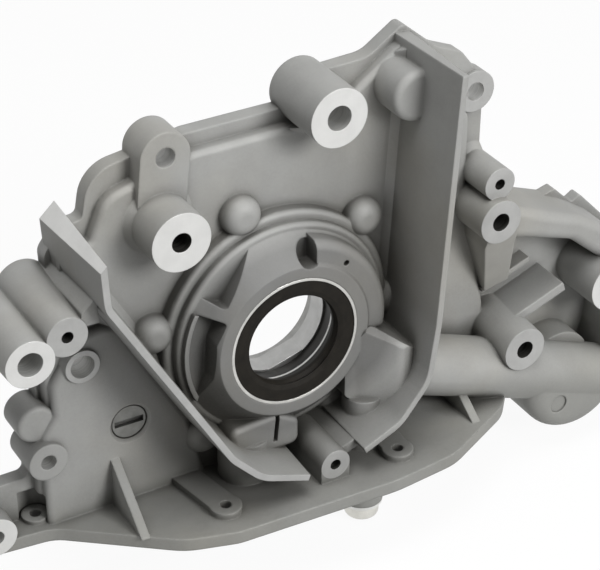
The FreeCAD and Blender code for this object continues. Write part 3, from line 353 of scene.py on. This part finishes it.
def cast_skin():
    """Die-cast skin: fine grain, cloudy grey, edges rubbed and painted lighter, and painted shade in the
    corners.
    """
    material, tree, shader = start_material("cast_skin", metallic=0.1, roughness=0.58, specular=0.3)
    place = frame_coordinates(tree)
    speckle = noise(tree, place, scale=900.0, detail=2.0)
    soft_normal = round_edges(tree, radius=0.0013)
    color = skin_shade_and_stains(tree, place, skin_tone(tree, place, speckle, soft_normal))
    join(tree, color, shader.inputs["Base Color"])
    join(tree, spread(tree, speckle, low=0.5, high=0.66), shader.inputs["Roughness"])
    waves = noise(tree, place, scale=130.0)
    wavy = bump(tree, waves, strength=0.25, distance=0.0006, base_normal=soft_normal)
    pores = noise(tree, place, scale=1500.0, detail=4.0)
    grain = bump(tree, pores, strength=0.22, distance=0.00012, base_normal=wavy)
    join(tree, grain, shader.inputs["Normal"])
    return material


def milled_face(name, low_color, high_color):
    """Milled face: pale metal with fine straight cutter marks and crisp edges."""
    material, tree, shader = start_material(name, metallic=0.3, roughness=0.42)
    place = frame_coordinates(tree)
    marks = noise(tree, stretched(tree, place, cutter_marks), detail=2.0)
    stain = noise(tree, place, scale=90.0, detail=4.0)
    soft_normal = round_edges(tree, radius=0.0004)
    color = mix_colors(tree, spread(tree, stain), low_color, high_color)
    color = darkened(tree, spread(tree, marks, high=0.18), color, cutter_mark_color)
    join(tree, color, shader.inputs["Base Color"])
    join(tree, spread(tree, marks, low=0.34, high=0.5), shader.inputs["Roughness"])
    cuts = bump(tree, marks, strength=0.15, distance=0.00005, base_normal=soft_normal)
    join(tree, cuts, shader.inputs["Normal"])
    return material


# Lit copy of the milled face: painted light
def bright_face():
    return milled_face("bright_face", (0.64, 0.64, 0.625), (0.71, 0.71, 0.695))


# Shaded copy of the milled face: painted shade
def dull_face():
    return milled_face("dull_face", (0.36, 0.36, 0.352), (0.44, 0.44, 0.43))


def tool_rings(tree, place, ring_scale):
    """Rings that a tool leaves round an axis from front to back."""
    scale = (ring_cross_scale, ring_scale, ring_cross_scale)
    return noise(tree, stretched(tree, place, scale), detail=2.0)


def hole_wall(name, low_color, high_color, ring_scale, ring_depth):
    """Cut wall with rings round the tool's axis."""
    material, tree, shader = start_material(name, metallic=0.4, roughness=0.4)
    rings = tool_rings(tree, frame_coordinates(tree), ring_scale)
    color = mix_colors(tree, spread(tree, rings), low_color, high_color)
    join(tree, color, shader.inputs["Base Color"])
    join(tree, bump(tree, rings, strength=0.4, distance=ring_depth), shader.inputs["Normal"])
    return material


def drilled_bore():
    """Clean wall of a hole that a screw passes through."""
    return hole_wall("drilled_bore", (0.42, 0.42, 0.41), (0.62, 0.62, 0.6),
                     ring_scale=3200.0, ring_depth=0.0001)


def shaded_bore():
    """Near-black wall of a deep or tapped hole, painted shade, with rings as coarse as a thread."""
    return hole_wall("shaded_bore", (0.03, 0.029, 0.026), (0.09, 0.088, 0.08),
                     ring_scale=1100.0, ring_depth=0.0002)


def crank_bore():
    """Crankshaft's way painted near-black as shade, with one thin painted highlight behind the seal."""
    material, tree, shader = start_material("crank_bore", metallic=0.4, roughness=0.4)
    place = frame_coordinates(tree)
    rings = tool_rings(tree, place, ring_scale=1800.0)
    color = mix_colors(tree, spread(tree, rings), crank_shade_black, crank_shade_grey)
    # Painted highlight: a thin bright band across the way
    glint = depth_band(tree, place, crank_glint_y, crank_glint_half_width)
    color = mix_colors(tree, glint, color, painted_glint_color)
    join(tree, color, shader.inputs["Base Color"])
    join(tree, bump(tree, rings, strength=0.3, distance=0.00005), shader.inputs["Normal"])
    return material


# Materials of the other pieces
def seal_rubber():
    """Brown-black rubber with dust, fine grain and a soft sheen."""
    material, tree, shader = start_material("seal_rubber", metallic=0.0, roughness=0.5, specular=0.12)
    place = frame_coordinates(tree)
    dust = noise(tree, place, scale=220.0, detail=4.0)
    fine = noise(tree, place, scale=2200.0, detail=2.0)
    soft_normal = round_edges(tree, radius=0.0004)
    color = mix_colors(tree, spread(tree, dust), rubber_dark, rubber_dusty)
    join(tree, color, shader.inputs["Base Color"])
    join(tree, spread(tree, dust, low=0.4, high=0.6), shader.inputs["Roughness"])
    skin = bump(tree, fine, strength=0.2, distance=0.00008, base_normal=soft_normal)
    join(tree, skin, shader.inputs["Normal"])
    return material


def worked_metal(name, low_color, high_color, roughness, grain_scale=turned_grain, metallic=0.85):
    """Worked metal: tone that drifts, fine grain along the work, rubbed edges and painted shade in the
    corners.
    """
    material, tree, shader = start_material(name, metallic, roughness)
    place = frame_coordinates(tree)
    drift = noise(tree, place, scale=120.0, detail=4.0)
    grain = noise(tree, stretched(tree, place, grain_scale))
    soft_normal = round_edges(tree, radius=0.0003)
    bright_edge = tuple(min(1.0, channel * worn_edge_gain) for channel in high_color)
    color = mix_colors(tree, spread(tree, drift), low_color, high_color)
    worn = faded(tree, edge_share(tree, soft_normal, reach=0.8), most=0.6)
    color = mix_colors(tree, worn, color, bright_edge)
    # Painted shade in the corners
    corner_shade = crevice_shade_share(tree, distance=0.004, most=0.85, clean_from=0.8)
    color = mix_colors(tree, corner_shade, color, metal_corner_shade_color)
    join(tree, color, shader.inputs["Base Color"])
    gloss = spread(tree, grain, roughness - grain_gloss_below, roughness + grain_gloss_above)
    join(tree, gloss, shader.inputs["Roughness"])
    lines = bump(tree, grain, strength=0.2, distance=0.00005, base_normal=soft_normal)
    join(tree, lines, shader.inputs["Normal"])
    return material


def seal_steel():
    return worked_metal("seal_steel", (0.5, 0.495, 0.47), (0.66, 0.655, 0.63), roughness=0.38)


def spring_steel():
    return worked_metal("spring_steel", (0.3, 0.3, 0.31), (0.5, 0.5, 0.5), roughness=0.35)


def sintered_steel():
    return worked_metal("sintered_steel", (0.38, 0.38, 0.372), (0.48, 0.48, 0.472),
                        roughness=0.36, grain_scale=ground_grain)


def cover_iron():
    return worked_metal("cover_iron", (0.27, 0.27, 0.26), (0.4, 0.4, 0.39),
                        roughness=0.45, grain_scale=faced_grain)


def ground_steel():
    return worked_metal("ground_steel", (0.55, 0.55, 0.55), (0.7, 0.7, 0.7), roughness=0.25)


def plated_steel():
    return worked_metal("plated_steel", (0.6, 0.59, 0.55), (0.76, 0.75, 0.7), roughness=0.36)


def washer_aluminium():
    return worked_metal("washer_aluminium", (0.62, 0.62, 0.6), (0.8, 0.8, 0.78), roughness=0.4)


def plug_steel():
    return worked_metal("plug_steel", (0.17, 0.17, 0.16), (0.3, 0.3, 0.285),
                        roughness=0.5, metallic=0.4)


def screw_steel():
    return worked_metal("screw_steel", (0.1, 0.097, 0.09), (0.2, 0.195, 0.18), roughness=0.45)


# Polygons of the housing, told apart by their place
def polygon_place(polygon):
    """Centre in millimetres as (x, z, depth)."""
    center = polygon.center * millimetres_per_metre
    return center.x, center.z, -center.y


def on_boss_face(polygon, faces):
    x, z, depth = polygon_place(polygon)
    if abs(polygon.normal.y) < square_share:
        return False
    for boss_x, boss_z, boss_depth, radius in faces:
        if abs(depth - boss_depth) < face_reach and math.hypot(x - boss_x, z - boss_z) < radius:
            return True
    return False


def on_hole_wall(polygon, holes):
    x, z, _ = polygon_place(polygon)
    if abs(polygon.normal.y) > hole_wall_share:
        return False
    for hole_x, hole_z, radius in holes:
        if math.hypot(x - hole_x, z - hole_z) < radius + hole_reach:
            return True
    return False


def on_wall_head(polygon):
    """Sawn slope at the top of the left wall."""
    x, z, depth = polygon_place(polygon)
    normal = polygon.normal
    slopes = normal.x < -slope_share and normal.z > slope_share and abs(normal.y) < level_share
    at_head = wall_head_left < x < wall_head_right and z > wall_head_low
    return slopes and at_head and depth > wall_head_back_depth


def on_left_wall_tip(polygon):
    x, _, depth = polygon_place(polygon)
    return x < 0.0 and abs(depth - wall_tip_depth) < plane_reach and polygon.normal.y < -square_share


def on_joint_face(polygon):
    """Milled faces that meet the engine block and the sump."""
    _, z, depth = polygon_place(polygon)
    on_block = abs(depth) < plane_reach and abs(polygon.normal.y) > square_share
    on_sump = abs(z - sump_face_height) < plane_reach and polygon.normal.z < -square_share
    return on_block or on_sump


def housing_slot(polygon):
    if on_boss_face(polygon, bright_faces) or on_wall_head(polygon):
        return bright_slot
    if on_boss_face(polygon, dull_faces) or on_joint_face(polygon) or on_left_wall_tip(polygon):
        return dull_slot
    if on_hole_wall(polygon, drilled_holes):
        return drilled_slot
    if on_hole_wall(polygon, shaded_holes):
        return shaded_slot
    if on_hole_wall(polygon, crank_way):
        return crank_slot
    return casting_slot


# Dressing of the CAD nodes
def dress_housing():
    """Six materials in the order of the slots, and a slot for each polygon."""
    housing = nodes["pump_housing"].data
    housing.materials.clear()
    for material in (cast_skin(), bright_face(), dull_face(), drilled_bore(), shaded_bore(), crank_bore()):
        housing.materials.append(material)
    for polygon in housing.polygons:
        polygon.material_index = housing_slot(polygon)


def dress(node_names, material):
    for name in node_names:
        mesh = nodes[name].data
        mesh.materials.clear()
        mesh.materials.append(material)


def relief_coil(material):
    """Coil in place of the CAD spring, as an object of its own on the pump case."""
    coil = bpy.data.objects.new("relief_coil", nodes["relief_spring"].data.copy())
    coil.data.materials.clear()
    coil.data.materials.append(material)
    bpy.context.scene.collection.objects.link(coil)
    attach(coil, "pump_case")
    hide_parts("relief_spring")
    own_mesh(coil)


def dress_nodes():
    dress_housing()
    dress(["oil_seal_lip", "outlet_o_ring"], seal_rubber())
    dress(["oil_seal_case"], seal_steel())
    coil_steel = spring_steel()
    dress(["garter_spring", "relief_spring"], coil_steel)
    relief_coil(coil_steel)
    dress(["inner_rotor", "outer_rotor"], sintered_steel())
    dress(["rotor_cover"], cover_iron())
    dress(["relief_plunger"], ground_steel())
    dress(["relief_plug", "gallery_end_plug"], plated_steel())
    dress(["relief_plug_washer"], washer_aluminium())
    dress(["slotted_plug"], plug_steel())
    dress([name for name in nodes if name.startswith("cover_screw")], screw_steel())


# Floor, light and camera
def background_share(tree):
    """One for rays from the camera and for rays mirrored or passed on by metal and glass."""
    path = add(tree, "ShaderNodeLightPath")
    seen = math_node(tree, "MAXIMUM", path.outputs["Is Camera Ray"], path.outputs["Is Glossy Ray"])
    return math_node(tree, "MAXIMUM", seen, path.outputs["Is Transmission Ray"])


def mix_shaders(tree, share, first, second):
    node = add(tree, "ShaderNodeMixShader")
    join(tree, share, node.inputs[0])
    join(tree, first.outputs[0], node.inputs[1])
    join(tree, second.outputs[0], node.inputs[2])
    return node.outputs[0]


def studio_floor():
    """White floor that keeps a faint shadow of the object."""
    half = floor_size / 2.0
    level = cad_box[0][2] - floor_drop
    corners = [(-half, -half, level), (half, -half, level), (half, half, level), (-half, half, level)]
    mesh = bpy.data.meshes.new("studio_floor")
    mesh.from_pydata(corners, [], [(0, 1, 2, 3)])
    floor = bpy.data.objects.new("studio_floor", mesh)
    bpy.context.scene.collection.objects.link(floor)
    material, tree, shader = start_material("studio_floor", metallic=0.0, roughness=floor_roughness)
    shader.inputs["Base Color"].default_value = floor_color
    glow = add(tree, "ShaderNodeEmission", {"Color": white, "Strength": floor_glow})
    share = math_node(tree, "MULTIPLY", background_share(tree), floor_glow_share)
    surface = mix_shaders(tree, share, shader, glow)
    join(tree, surface, tree.nodes["Material Output"].inputs["Surface"])
    mesh.materials.append(material)


def studio_world():
    """Weak light all round, and a white background where it is seen."""
    world = bpy.data.worlds.new("studio")
    world.use_nodes = True
    bpy.context.scene.world = world
    tree = world.node_tree
    light = tree.nodes["Background"]
    light.inputs["Color"].default_value = white
    light.inputs["Strength"].default_value = world_strength
    backdrop = add(tree, "ShaderNodeBackground", {"Color": white, "Strength": 1.0})
    surface = mix_shaders(tree, background_share(tree), light, backdrop)
    join(tree, surface, tree.nodes["World Output"].inputs["Surface"])


def softbox(name, place, size, power):
    """Square area lamp that faces the pump."""
    lamp = bpy.data.lights.new(name, "AREA")
    lamp.shape = "SQUARE"
    lamp.size = size
    lamp.energy = power
    holder = bpy.data.objects.new(name, lamp)
    holder.location = place
    holder.rotation_euler = (-Vector(place)).to_track_quat("-Z", "Y").to_euler()
    bpy.context.scene.collection.objects.link(holder)


def studio_camera():
    data = bpy.data.cameras.new("camera")
    data.lens = camera_lens
    data.sensor_width = camera_sensor_width
    data.sensor_fit = "HORIZONTAL"
    camera = bpy.data.objects.new("camera", data)
    back = camera_right.cross(camera_up)
    turn = Matrix((camera_right, camera_up, back)).transposed().to_4x4()
    camera.matrix_world = Matrix.Translation(camera_place) @ turn
    bpy.context.scene.collection.objects.link(camera)
    bpy.context.scene.camera = camera


dress_nodes()
studio_world()
studio_floor()
softbox("key_softbox", key_place, key_size, key_power)
softbox("top_softbox", top_place, top_size, top_power)
studio_camera()
bpy.context.scene.view_settings.view_transform = "Standard"
